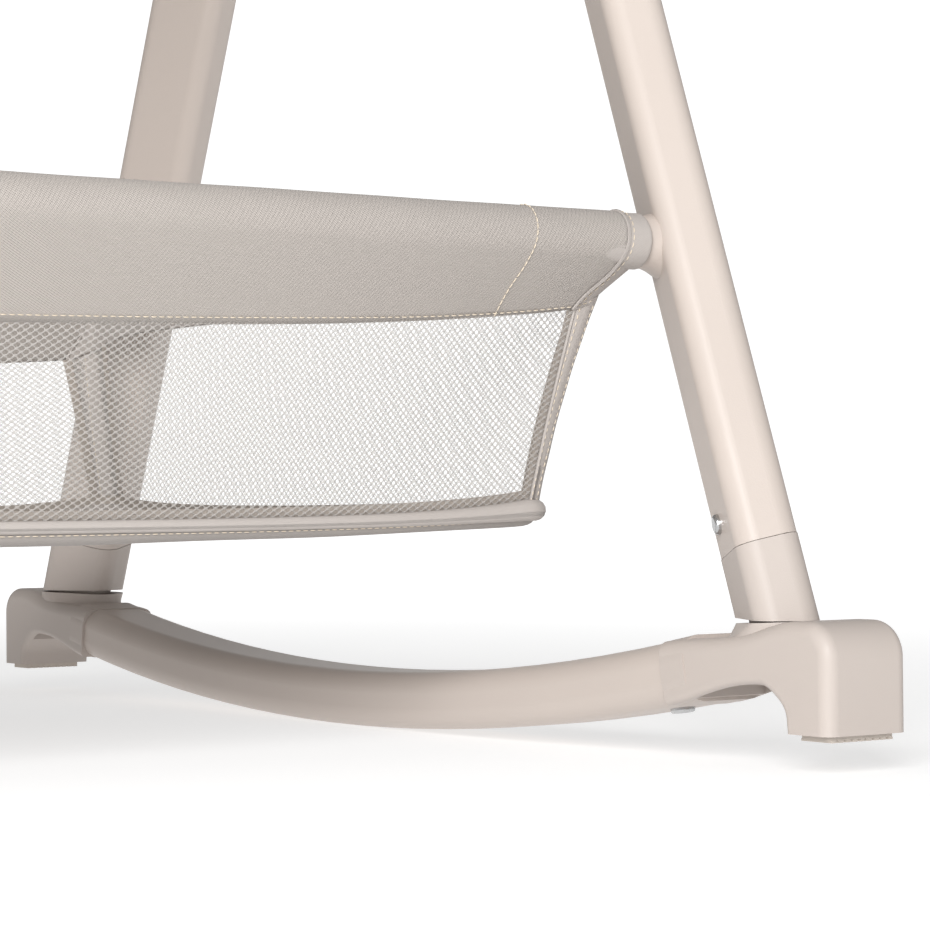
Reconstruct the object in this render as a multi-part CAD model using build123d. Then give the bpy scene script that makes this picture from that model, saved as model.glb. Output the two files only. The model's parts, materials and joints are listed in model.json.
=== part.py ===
from build123d import *
import os
from math import asin, cos, degrees, radians, sin

# Rocking bedside crib. Two A-shaped end frames stand on curved rocker rails, a fabric storage
# basket hangs between the legs, and a lift-off bassinet sits on the hubs at the top of the legs.
# Row frame: +X along the crib, +Y towards its back, +Z up, floor at Z = 0, origin at the centre.
# Every end frame is built once as the right end's back half, about its own centre plane, and is
# then mirrored into its four places. Millimetres throughout.

# Overall
FOOT_TO_FOOT = 750.0
FRAME_SPACING = 900.0
HALF_SPACING = FRAME_SPACING / 2
FIT_GAP = 0.3

# Rocker rail
RAIL_RADIUS = 1550.0
RAIL_WIDTH = 43.0
RAIL_HEIGHT = 28.0
RAIL_CORNER = 10.0
RAIL_WALL = 1.6
RAIL_END_Y = 269.0
RIVET_Y = 256.0

# Foot casting
FOOT_WIDTH = 45.0
FOOT_ROUND = 6.0
UNDER_ROUND = 3.0
FOOT_OUTER_Y = FOOT_TO_FOOT / 2
FOOT_INNER_Y = 349.0
FOOT_BOTTOM = 16.6
FOOT_TOP = 62.6
COLLAR_LENGTH = 16.0
COLLAR_STEP = 0.5
CAVITY_WALL = 3.6

# Stabiliser foot: a plunger with a ribbed rubber pad in a pocket under each foot
PAD_BOTTOM = 13.8
PAD_THICK = 6.0
PAD_RIB = 1.0
POCKET_HALF_X = 18.0
POCKET_Y = (352.0, 371.5)
POCKET_TOP = 46.0
PLUNGER_TOP = 44.0

# Legs
LEG_BASE_Z = 62.0
LEG_BASE_Y = 316.5
LEG_BASE_X = 2.3
LEG_LEAN = 0.386
LEG_SPLAY = 0.017
LEG_TWIST = 60.0
LEG_WIDE = 45.6
LEG_THIN = 27.5
LEG_CORNER = 9.0
LEG_WALL = 1.5
LEG_TOP_Z = 745.0

# Leg sleeve, and the boss and post that carry it
SLEEVE_GROW = 0.25
SEAM_MID_Z = 92.5
SEAM_SLOPE = (0.11, 0.28)
SEAM_GAP = 0.3
PLUG_TOP = 122.0
PLUG_GAP = 0.15
POST_WIDE = 32.0
POST_THIN = 18.5
POST_CORNER = 5.0
POST_GAP = 0.2
POST_TOP = 116.0
BOSS_TOP = 60.7
BOSS_TILT = 2.6
BOSS_LOW = 44.0
BOSS_TOP_OVAL = (48.2, 30.5, 10.5)
BOSS_LOW_OVAL = (56.0, 42.0, 12.0)
SCREW_Z = 105.6
SCREW_OFFSET = 4.0
SCREW_DEPTH = 23.0

# Hub at the top of each end frame
HUB_HALF_X = 31.0
HUB_CENTRE_X = 13.5
HUB_BOTTOM = 690.0
HUB_TOP = 806.0
HUB_FOOT_HALF_Y = 106.0
HUB_CROWN = 62.0
BUTTON_Z = 742.0
BUTTON_R = 16.0
BUTTON_LENGTH = 11.0
BUTTON_PROUD = 2.5
COVER_R = 30.0
COVER_THICK = 3.0

# Saddle on the hub and tongue on the bassinet
SADDLE_X = (-38.0, -17.5)
SADDLE_HALF_Y = 30.0
SADDLE_Z = (712.0, 760.0)
POCKET_X = (-33.8, -21.6)
POCKET_HALF_Y = 22.0
POCKET_FLOOR = 720.0

# Storage basket
RIM_Z = 227.0
RIM_HALF_Y = 251.0
RIM_END_X = HALF_SPACING - 24.0
RIM_R = 10.0
RIM_CORNER = 30.0
COVER_GAP = 0.35
RIM_COVER_R = 12.0
BASKET_TOP_Z = 214.5
BASKET_EDGE_Z = 105.0
BASKET_LOW_Z = 96.0
BASKET_TOP_HALF = (HALF_SPACING - 29.0, 247.0)
BASKET_EDGE_HALF = (HALF_SPACING - 45.0, 207.0)
BASKET_LOW_HALF = (HALF_SPACING - 56.0, 196.0)
BASKET_WALL = 2.5
INSERT_Z = (98.6, 108.6)
INSERT_HALF = (HALF_SPACING - 60.0, 192.0)
STUB_R = 11.0
STUB_Z = 226.0

# Bassinet
CRADLE_RIM_Z = 780.0
CRADLE_RIM_HALF = (398.0, 262.0)
CRADLE_RIM_CORNER = 150.0
CRADLE_RIM_R = 11.0
CRADLE_COVER_R = 13.5
CRADLE_TOP_Z = 766.0
CRADLE_LOW_Z = 520.0
CRADLE_TOP_HALF = (401.0, 265.0)
CRADLE_LOW_HALF = (376.0, 236.0)
CRADLE_LOW_CORNER = 120.0
CRADLE_WALL = 3.0
BOARD_Z = (523.5, 529.5)
MATTRESS_Z = (530.0, 580.0)
BRACKET_HALF_Y = 34.0

# Fasteners
RIVET_HEAD_R = 5.5
RIVET_HEAD_H = 2.2
SHANK_R = 2.5
HOLE_R = SHANK_R + 0.1
SCREW_HEAD_R = 4.4
SCREW_HEAD_H = 2.4

ENDS = {"left": -1, "right": 1}
SIDES = {"front": -1, "back": 1}


def leg_point(z):
    rise = z - LEG_BASE_Z
    return Vector(LEG_BASE_X + LEG_SPLAY * rise, LEG_BASE_Y - LEG_LEAN * rise, z)


LEG_DIR = (leg_point(LEG_TOP_Z) - leg_point(LEG_BASE_Z)).normalized()
TWIST_COS = cos(radians(LEG_TWIST))
TWIST_SIN = sin(radians(LEG_TWIST))
# the section's wide direction: turned outwards by the twist and square to the leg
LEG_WIDE_DIR = Vector(TWIST_COS, -TWIST_SIN, -(LEG_SPLAY * TWIST_COS + LEG_LEAN * TWIST_SIN))


def box_between(x, y, z):
    size = (x[1] - x[0], y[1] - y[0], z[1] - z[0])
    centre = ((x[0] + x[1]) / 2, (y[0] + y[1]) / 2, (z[0] + z[1]) / 2)
    return Pos(*centre) * Box(*size)


def place(shape, end, side=1):
    """Move a shape from the right end's back half to its end and side."""
    if side < 0:
        shape = mirror(shape, about=Plane.XZ)
    if end < 0:
        shape = mirror(shape, about=Plane.YZ)
    return Pos(end * HALF_SPACING, 0, 0) * shape


def save(shape, name):
    shape.label = name
    export_step(shape, f"parts/{name}.step")


def leg_prism(grow, z_from, z_to, wide=LEG_WIDE, thin=LEG_THIN, corner=LEG_CORNER):
    """A bar along the leg's axis between two level cuts."""
    start = leg_point(z_from - 20)
    length = (leg_point(z_to + 20) - start).length
    plane = Plane(origin=start, x_dir=LEG_WIDE_DIR, z_dir=LEG_DIR)
    section = RectangleRounded(wide + 2 * grow, thin + 2 * grow, corner + grow)
    bar = extrude(plane * section, length)
    return bar & box_between((-90, 90), (-60, 420), (z_from, z_to))


def screw_axis():
    """Plane whose Z runs into the leg's inner wide face at the screw."""
    wide = LEG_WIDE_DIR.normalized()
    inwards = LEG_DIR.cross(wide)
    face = leg_point(SCREW_Z) - inwards * (LEG_THIN / 2) + wide * SCREW_OFFSET
    return Plane(origin=face, z_dir=inwards)


def seam_space(lift=0.0):
    """The space below the oblique seam between a leg and its sleeve."""
    mid = leg_point(SEAM_MID_Z) + Vector(0, 0, lift)
    slope_x, slope_y = SEAM_SLOPE
    plane = Plane(origin=mid, x_dir=Vector(1, 0, slope_x), z_dir=Vector(-slope_x, -slope_y, 1))
    return extrude(plane * Rectangle(300, 300), -200)


def rail_section_angle():
    return degrees(asin(RAIL_END_Y / (RAIL_RADIUS - RAIL_HEIGHT / 2)))


def rail_bar(width, height, corner, from_angle, to_angle):
    """A bar bent round the rocker's centre, between two angles from straight down."""
    mid_radius = RAIL_RADIUS - RAIL_HEIGHT / 2
    start = radians(from_angle)
    origin = (0, mid_radius * sin(start), RAIL_RADIUS - mid_radius * cos(start))
    plane = Plane(origin=origin, x_dir=(1, 0, 0), z_dir=(0, -cos(start), -sin(start)))
    section = plane * RectangleRounded(width, height, corner)
    axis = Axis((0, 0, RAIL_RADIUS), (1, 0, 0))
    return revolve(section, axis, to_angle - from_angle)


def at_rivet(shape):
    """Swing a shape from the rail's lowest point round to the rivet."""
    angle = degrees(asin(RIVET_Y / RAIL_RADIUS))
    return Pos(0, 0, RAIL_RADIUS) * Rot(angle, 0, 0) * Pos(0, 0, -RAIL_RADIUS) * shape


def rivet_hole(radius, depth):
    return at_rivet(Cylinder(radius, depth))


def rocker_rail():
    end = rail_section_angle()
    outer = rail_bar(RAIL_WIDTH, RAIL_HEIGHT, RAIL_CORNER, -end, end)
    bore_w = RAIL_WIDTH - 2 * RAIL_WALL
    bore_h = RAIL_HEIGHT - 2 * RAIL_WALL
    bore = rail_bar(bore_w, bore_h, RAIL_CORNER - RAIL_WALL, -end - 1, end + 1)
    tube = outer - bore
    hole = rivet_hole(HOLE_R, RAIL_HEIGHT)
    return tube - hole - mirror(hole, about=Plane.XZ)


def rail_rivet():
    shank = Pos(0, 0, 4.0) * Cylinder(SHANK_R, 12.5)
    head = Pos(0, 0, -RIVET_HEAD_H / 2) * Cylinder(RIVET_HEAD_R, RIVET_HEAD_H)
    head = fillet(head.edges().group_by(Axis.Z)[0], 1.2)
    return at_rivet(head + shank)


def foot_side_profile():
    """Side view of a foot, in Y and Z."""
    angle = radians(rail_section_angle())
    low = (RAIL_RADIUS * sin(angle), RAIL_RADIUS * (1 - cos(angle)))
    top_radius = RAIL_RADIUS - RAIL_HEIGHT
    high = (top_radius * sin(angle), RAIL_RADIUS - top_radius * cos(angle))
    crown = (352.0, FOOT_TOP)
    top = Spline(high, (300.0, 54.2), (328.0, 58.2), crown, tangents=((1, 0.16), (1, 0.02)))
    shoulder_r = FOOT_OUTER_Y - 360.0
    flat = Line(crown, (360.0, FOOT_TOP))
    shoulder = RadiusArc((360.0, FOOT_TOP), (FOOT_OUTER_Y, FOOT_TOP - shoulder_r), shoulder_r)
    outside = Line((FOOT_OUTER_Y, FOOT_TOP - shoulder_r), (FOOT_OUTER_Y, FOOT_BOTTOM))
    base = Line((FOOT_OUTER_Y, FOOT_BOTTOM), (FOOT_INNER_Y, FOOT_BOTTOM))
    inside = Line((FOOT_INNER_Y, FOOT_BOTTOM), (FOOT_INNER_Y - 0.6, 22.0))
    arch = Spline((FOOT_INNER_Y - 0.6, 22.0), (342.0, 31.2), (331.0, 35.8), tangents=((-0.1, 1), (-1, 0)))
    under = Spline((331.0, 35.8), (295.0, 30.0), low, tangents=((-1, 0), (-1, -0.18)))
    wire = Wire([top, flat, shoulder, outside, base, inside, arch, under, Line(low, high)])
    return Plane.YZ * make_face(wire)


def foot_casting():
    body = extrude(foot_side_profile(), FOOT_WIDTH / 2, both=True)
    body = fillet(side_edges(body, (40.0, 70.0), (275.0, 380.0)), FOOT_ROUND)
    body = fillet(side_edges(body, (26.0, 39.0), (272.0, 344.0)), UNDER_ROUND)
    # flared boss that carries the leg
    mid = leg_point(BOSS_TOP)
    upper_oval = Rot(BOSS_TILT, 0, 0) * Rot(0, 0, -LEG_TWIST) * RectangleRounded(*BOSS_TOP_OVAL)
    upper_oval = Pos(mid.X, mid.Y, BOSS_TOP) * upper_oval
    lower_oval = Pos(0, mid.Y + 1, BOSS_LOW) * Rot(0, 0, -90) * RectangleRounded(*BOSS_LOW_OVAL)
    body = body + loft([upper_oval, lower_oval])
    # spigot in the rail's end
    end = rail_section_angle()
    spigot_w = RAIL_WIDTH - 2 * RAIL_WALL - 0.4
    spigot_h = RAIL_HEIGHT - 2 * RAIL_WALL - 0.4
    body = body + rail_bar(spigot_w, spigot_h, 8.3, end - 1.35, end + 0.4)
    collar_end = end + degrees(COLLAR_LENGTH / RAIL_RADIUS)
    collar_w = FOOT_WIDTH + 2 * COLLAR_STEP
    collar_h = RAIL_HEIGHT + 2 * COLLAR_STEP
    collar = rail_bar(collar_w, collar_h, RAIL_CORNER + COLLAR_STEP, end, collar_end)
    body = body + collar
    # hollow underside with two cross ribs
    cavity_x = (-FOOT_WIDTH / 2 + CAVITY_WALL, FOOT_WIDTH / 2 - CAVITY_WALL)
    cavity = box_between(cavity_x, (289.0, 341.0), (10.0, 43.0))
    for rib_y in (301.0, 328.0):
        cavity = cavity - box_between(cavity_x, (rib_y - 1.2, rib_y + 1.2), (33.0, 60.0))
    body = body - cavity
    # pocket for the stabiliser, and holes for the rivet and the screw heads
    body = body - box_between((-POCKET_HALF_X, POCKET_HALF_X), POCKET_Y, (0, POCKET_TOP))
    body = body - rivet_hole(HOLE_R, RAIL_HEIGHT)
    body = body + leg_prism(0, BOSS_TOP - 6, POST_TOP, POST_WIDE, POST_THIN, POST_CORNER)
    bore = screw_axis() * Cylinder(HOLE_R, 2 * LEG_WIDE)
    body = body - bore
    foot_bolt = Pos(0, leg_point(48).Y - 2, 40) * Cylinder(HOLE_R, 30)
    return body - foot_bolt


def side_edges(body, z, y):
    """Edges round a foot's flanks, inside a window in Z and Y."""
    found = ShapeList()
    for face in body.faces().filter_by(lambda f: abs(f.center().X) > FOOT_WIDTH / 2 - 0.1):
        found += face.edges()
    return found.filter_by(lambda e: z[0] < e.center().Z < z[1] and y[0] < e.center().Y < y[1])


def foot_screw():
    y = leg_point(48).Y - 2
    shank = Pos(0, y, 47.0) * Cylinder(SHANK_R, 13)
    head = Pos(0, y, 40.9) * Cylinder(SCREW_HEAD_R, SCREW_HEAD_H)
    return shank + head


def leg_screw():
    axis = screw_axis()
    shank = axis * (Pos(0, 0, (SCREW_DEPTH - 1) / 2) * Cylinder(SHANK_R, SCREW_DEPTH + 1))
    head = Pos(0, 0, -SCREW_HEAD_H / 2) * Cylinder(SCREW_HEAD_R, SCREW_HEAD_H)
    head = fillet(head.edges().group_by(Axis.Z)[0], 1.4)
    return shank + axis * head


def plunger():
    gap = 0.4
    x = POCKET_HALF_X - gap
    y = (POCKET_Y[0] + gap, POCKET_Y[1] - gap)
    pad_top = PAD_BOTTOM + PAD_THICK
    block = box_between((-x, x), y, (pad_top, PLUNGER_TOP))
    block = fillet(block.edges().filter_by(Axis.Z), 2.0)
    hollow = box_between((-x + 3, x - 3), (y[0] + 3, y[1] - 3), (pad_top + 3, PLUNGER_TOP + 1))
    return block - hollow


def stabiliser_pad():
    gap = 0.5
    x = POCKET_HALF_X - gap
    y = (POCKET_Y[0] + gap, POCKET_Y[1] - gap)
    pad = box_between((-x, x), y, (PAD_BOTTOM + PAD_RIB, PAD_BOTTOM + PAD_THICK))
    pad = fillet(pad.edges().filter_by(Axis.Z), 2.0)
    count = 9
    pitch = 2 * x / count
    for i in range(count):
        mid = -x + (i + 0.5) * pitch
        pad = pad + box_between((mid - 1.2, mid + 1.2), y, (PAD_BOTTOM, PAD_BOTTOM + PAD_RIB))
    return pad


def tube_bore(gap, z_from, z_to):
    """What fills the leg tube's bore, less a gap all round."""
    less = 2 * (LEG_WALL + gap)
    return leg_prism(0, z_from, z_to, LEG_WIDE - less, LEG_THIN - less, LEG_CORNER - LEG_WALL - gap)


def leg_tube():
    tube = leg_prism(0, LEG_BASE_Z, LEG_TOP_Z) - tube_bore(0, LEG_BASE_Z - 5, LEG_TOP_Z + 5)
    hole = screw_axis() * Cylinder(HOLE_R, 20)
    return tube - seam_space(SEAM_GAP) - hole


def leg_sleeve():
    skirt = leg_prism(SLEEVE_GROW, LEG_BASE_Z, SEAM_MID_Z + 40) & seam_space()
    plug = tube_bore(PLUG_GAP, LEG_BASE_Z + 1, PLUG_TOP)
    post = leg_prism(POST_GAP, LEG_BASE_Z - 5, PLUG_TOP + 5, POST_WIDE, POST_THIN, POST_CORNER)
    return skirt + plug - post - screw_axis() * Cylinder(HOLE_R, 2 * LEG_WIDE)


def hub():
    corners = [
        (-HUB_FOOT_HALF_Y, HUB_BOTTOM),
        (HUB_FOOT_HALF_Y, HUB_BOTTOM),
        (HUB_CROWN, HUB_TOP),
        (-HUB_CROWN, HUB_TOP),
    ]
    outline = Polygon(*corners, align=None)
    outline = fillet(outline.vertices().group_by(Axis.Y)[-1], 48.0)
    outline = fillet(outline.vertices().group_by(Axis.Y)[0], 10.0)
    arch = Pos(0, HUB_BOTTOM - 24.0) * Circle(44.0)
    body = extrude(Plane.YZ * (outline - arch), HUB_HALF_X, both=True)
    rims = ShapeList()
    for side in body.faces().filter_by(Axis.X):
        rims += side.edges()
    body = Pos(HUB_CENTRE_X, 0, 0) * fillet(rims, 5.0)
    socket = leg_prism(0.15, HUB_BOTTOM - 30, LEG_TOP_Z + 0.3)
    body = body - socket - mirror(socket, about=Plane.XZ)
    saddle = box_between(SADDLE_X, (-SADDLE_HALF_Y, SADDLE_HALF_Y), SADDLE_Z)
    saddle = fillet(saddle.edges().filter_by(Axis.Z).group_by(Axis.X)[0], 5.0)
    pocket = box_between(POCKET_X, (-POCKET_HALF_Y, POCKET_HALF_Y), (POCKET_FLOOR, HUB_TOP + 20))
    body = body + saddle - pocket
    outer_x = HUB_CENTRE_X + HUB_HALF_X
    well = Pos(outer_x - 7, 0, BUTTON_Z) * Rot(0, 90, 0) * Cylinder(BUTTON_R + 1.0, 14.2)
    return body - well


def hub_cover():
    outer_x = HUB_CENTRE_X + HUB_HALF_X
    turn = Pos(outer_x + COVER_THICK / 2, 0, BUTTON_Z) * Rot(0, 90, 0)
    ring = Cylinder(COVER_R, COVER_THICK)
    ring = fillet(ring.edges().group_by(Axis.Z)[-1], 1.5)
    return turn * (ring - Cylinder(BUTTON_R + 0.5, 10))


def release_button():
    outer_x = HUB_CENTRE_X + HUB_HALF_X
    cap = Cylinder(BUTTON_R, BUTTON_LENGTH)
    cap = fillet(cap.edges().group_by(Axis.Z)[-1], 2.0)
    mid = outer_x + COVER_THICK + BUTTON_PROUD - BUTTON_LENGTH / 2
    return Pos(mid, 0, BUTTON_Z) * Rot(0, 90, 0) * cap


def ring_path(half, corner, z):
    return Pos(0, 0, z) * RectangleRounded(2 * half[0], 2 * half[1], corner).wire()


def ring_bar(half, corner, z, outer_r, inner_r=0.0):
    """A closed round bar, or pipe, along a level rounded rectangle."""
    path = ring_path(half, corner, z)
    start = path.position_at(0)
    plane = Plane(origin=start, z_dir=path.tangent_at(0))
    bar = sweep(plane * Circle(outer_r), path)
    if inner_r:
        bar = bar - sweep(plane * Circle(inner_r), path)
    return bar


def level_section(half, corner, z):
    return Pos(0, 0, z) * RectangleRounded(2 * half[0], 2 * half[1], corner)


def tub(top, low, wall, top_z, low_z, top_corner, low_corner):
    """An open-topped tapering shell with a closed floor."""
    outer = loft([level_section(low, low_corner, low_z), level_section(top, top_corner, top_z)])
    inner_low = (low[0] - wall, low[1] - wall)
    inner_top = (top[0] - wall, top[1] - wall)
    sections = [
        level_section(inner_low, low_corner - wall, low_z + wall),
        level_section(inner_top, top_corner - wall, top_z + 0.5),
    ]
    return outer - loft(sections)


def basket_rim():
    return ring_bar((RIM_END_X, RIM_HALF_Y), RIM_CORNER, RIM_Z, RIM_R)


def basket_stub():
    """Stub that joins the rim's corner to the leg, flared where it is welded to the leg."""
    leg_side = 6.0
    start = -46.0
    flare_x = (-24.0, -15.0, -6.0)
    flare_r = 15.5
    outline = Polyline((start, 0), (start, STUB_R), (flare_x[0], STUB_R))
    curve = ThreePointArc((flare_x[0], STUB_R), (flare_x[1], 12.0), (flare_x[2], flare_r))
    close = Polyline((flare_x[2], flare_r), (leg_side, flare_r), (leg_side, 0), (start, 0))
    face = make_face(Wire([*outline.edges(), curve, *close.edges()]))
    stub = revolve(Plane.XZ * face, Axis.X)
    return Pos(0, RIM_HALF_Y, STUB_Z) * stub


def basket_stubs(rim):
    trim = leg_prism(0.02, 150, 300)
    stub = basket_stub() - trim
    solids = []
    for end in ENDS.values():
        for side in SIDES.values():
            solids.append(place(stub, end, side) - rim)
    return Compound(children=[largest(s) for s in solids])


def largest(shape):
    return shape.solids().sort_by(SortBy.VOLUME)[-1]


def basket_rim_cover():
    ring = ring_bar((RIM_END_X, RIM_HALF_Y), RIM_CORNER, RIM_Z, RIM_COVER_R, RIM_R + COVER_GAP)
    narrow = Cylinder(STUB_R + FIT_GAP, 24)
    wide = Pos(0, 0, 25) * Cylinder(STUB_R + 6.0, 32)
    gap = Pos(-36, RIM_HALF_Y, STUB_Z) * Rot(0, 90, 0) * (narrow + wide)
    for end in ENDS.values():
        for side in SIDES.values():
            ring = ring - place(gap, end, side)
    return largest(ring)


def basket_fabric():
    """Tapering sides down to the edge seam, and a shallow belly under the floor."""
    edge_corner = 16.0
    wall = BASKET_WALL
    upper = tub(BASKET_TOP_HALF, BASKET_EDGE_HALF, wall, BASKET_TOP_Z, BASKET_EDGE_Z, 24.0, edge_corner)
    belly = loft([
        level_section(BASKET_LOW_HALF, 8.0, BASKET_LOW_Z),
        level_section(BASKET_EDGE_HALF, edge_corner, BASKET_EDGE_Z),
    ])
    low_half = (BASKET_LOW_HALF[0] - wall, BASKET_LOW_HALF[1] - wall)
    edge_half = (BASKET_EDGE_HALF[0] - wall, BASKET_EDGE_HALF[1] - wall)
    hollow = loft([
        level_section(low_half, 6.0, BASKET_LOW_Z + wall),
        level_section(edge_half, edge_corner - wall, BASKET_EDGE_Z + wall),
    ])
    return upper + belly - hollow


def basket_insert():
    return extrude(level_section(INSERT_HALF, 10.0, INSERT_Z[0]), INSERT_Z[1] - INSERT_Z[0])


def cradle_rim():
    return ring_bar(CRADLE_RIM_HALF, CRADLE_RIM_CORNER, CRADLE_RIM_Z, CRADLE_RIM_R)


def bracket_window(grow):
    y = BRACKET_HALF_Y + grow
    near = CRADLE_RIM_HALF[0] - 30
    return box_between((near, near + 80), (-y, y), (CRADLE_RIM_Z - 30, CRADLE_RIM_Z + 30))


def cradle_rim_cover():
    inner_r = CRADLE_RIM_R + COVER_GAP
    ring = ring_bar(CRADLE_RIM_HALF, CRADLE_RIM_CORNER, CRADLE_RIM_Z, CRADLE_COVER_R, inner_r)
    window = bracket_window(FIT_GAP)
    ring = ring - window - mirror(window, about=Plane.YZ)
    return Compound(children=list(ring.solids()))


def cradle_fabric():
    corner = CRADLE_RIM_CORNER
    low_corner = CRADLE_LOW_CORNER
    shell = tub(CRADLE_TOP_HALF, CRADLE_LOW_HALF, CRADLE_WALL, CRADLE_TOP_Z, CRADLE_LOW_Z, corner, low_corner)
    window = bracket_window(FIT_GAP)
    return shell - window - mirror(window, about=Plane.YZ)


def cradle_layer(z, inset):
    """A flat layer inside the bassinet that follows its plan."""
    half = (CRADLE_LOW_HALF[0] - inset, CRADLE_LOW_HALF[1] - inset)
    return extrude(level_section(half, CRADLE_LOW_CORNER - inset, z[0]), z[1] - z[0])


def bracket():
    """Bassinet bracket: a clamp round the rim and a tongue that drops into the hub's saddle."""
    rim_x = CRADLE_RIM_HALF[0] - HALF_SPACING
    clamp = Pos(rim_x, 0, CRADLE_RIM_Z) * Rot(90, 0, 0) * Cylinder(15.0, 2 * BRACKET_HALF_Y)
    arm_z = (SADDLE_Z[1] + 2.0, SADDLE_Z[1] + 14.0)
    tongue_x = (POCKET_X[0] + FIT_GAP, POCKET_X[1] - FIT_GAP)
    half_y = POCKET_HALF_Y - FIT_GAP
    arm = box_between((rim_x, tongue_x[1]), (-half_y, half_y), arm_z)
    tongue = box_between(tongue_x, (-half_y, half_y), (POCKET_FLOOR + FIT_GAP, arm_z[1]))
    hole = Pos(rim_x, 0, CRADLE_RIM_Z) * Rot(90, 0, 0) * Cylinder(CRADLE_RIM_R + 0.1, 100)
    return clamp + arm + tongue - hole


def group(shape):
    """The four copies of a fastener, one at each foot."""
    copies = []
    for end in ENDS.values():
        for side in SIDES.values():
            copies.append(largest(place(shape, end, side)))
    return Compound(children=copies)


def main():
    os.makedirs("parts", exist_ok=True)
    rail = rocker_rail()
    end_hub = hub()
    cover = hub_cover()
    button = release_button()
    end_bracket = bracket()
    for end_name, end in ENDS.items():
        save(place(rail, end), f"rocker_rail_{end_name}")
        save(place(end_hub, end), f"hub_{end_name}")
        save(place(cover, end), f"hub_cover_{end_name}")
        save(place(button, end), f"release_button_{end_name}")
        save(place(end_bracket, end), f"bassinet_bracket_{end_name}")
    corner_parts = {
        "foot_casting": foot_casting(),
        "stabiliser_plunger": plunger(),
        "stabiliser_pad": stabiliser_pad(),
        "leg_tube": leg_tube(),
        "leg_sleeve": leg_sleeve(),
    }
    for part_name, shape in corner_parts.items():
        for end_name, end in ENDS.items():
            for side_name, side in SIDES.items():
                save(place(shape, end, side), f"{part_name}_{end_name}_{side_name}")
    save(group(rail_rivet()), "rail_rivets")
    save(group(foot_screw()), "foot_screws")
    save(group(leg_screw()), "leg_screws")
    rim = basket_rim()
    save(rim, "basket_rim_tube")
    save(basket_stubs(rim), "basket_stubs")
    save(basket_rim_cover(), "basket_rim_cover")
    save(basket_fabric(), "basket_fabric")
    save(basket_insert(), "basket_floor_insert")
    save(cradle_rim(), "bassinet_rim_tube")
    save(cradle_rim_cover(), "bassinet_rim_cover")
    save(cradle_fabric(), "bassinet_fabric")
    save(cradle_layer(BOARD_Z, 5.0), "bassinet_floor_board")
    save(cradle_layer(MATTRESS_Z, 7.0), "bassinet_mattress")


main()
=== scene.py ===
import json
import math

import bpy
import numpy as np
from mathutils import Matrix, Vector


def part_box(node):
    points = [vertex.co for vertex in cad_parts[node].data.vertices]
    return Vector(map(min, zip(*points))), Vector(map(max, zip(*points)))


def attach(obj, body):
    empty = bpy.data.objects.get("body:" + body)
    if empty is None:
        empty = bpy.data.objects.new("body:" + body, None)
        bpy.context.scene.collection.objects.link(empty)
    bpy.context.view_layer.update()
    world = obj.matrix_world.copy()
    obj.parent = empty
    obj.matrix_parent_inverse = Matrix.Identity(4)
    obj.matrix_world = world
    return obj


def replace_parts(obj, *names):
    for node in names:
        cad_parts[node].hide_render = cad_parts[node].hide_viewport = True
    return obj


# Rocking bedside crib: the CAD parts get their finishes here, and the cloth goods (storage basket
# and bassinet) are modelled here. Soft goods are computed in millimetres in the row frame.

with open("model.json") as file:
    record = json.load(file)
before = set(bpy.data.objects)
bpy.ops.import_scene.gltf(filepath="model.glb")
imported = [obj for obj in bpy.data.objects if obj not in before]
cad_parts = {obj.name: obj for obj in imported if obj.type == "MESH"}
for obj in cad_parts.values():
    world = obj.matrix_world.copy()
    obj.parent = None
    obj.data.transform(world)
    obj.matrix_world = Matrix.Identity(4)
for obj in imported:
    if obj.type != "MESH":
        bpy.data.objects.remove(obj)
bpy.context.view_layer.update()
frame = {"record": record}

MM = 0.001
SIDES = {"front": -1, "back": 1}
ENDS = {"left": -1, "right": 1}


def mid(node):
    """Centre of a CAD node's box, in millimetres."""
    low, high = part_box(node)
    return np.array((low + high) / 2) / MM


END_X = mid("rocker_rail_right")[0]

# ---------------------------------------------------------------- materials


def linear(r, g, b):
    """sRGB 0-255 to linear with alpha."""
    out = []
    for c in (r, g, b):
        c = c / 255
        out.append(c / 12.92 if c <= 0.04045 else ((c + 0.055) / 1.055) ** 2.4)
    return (*out, 1.0)


def scaled(color, k):
    return (color[0] * k, color[1] * k, color[2] * k, 1.0)


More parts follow.
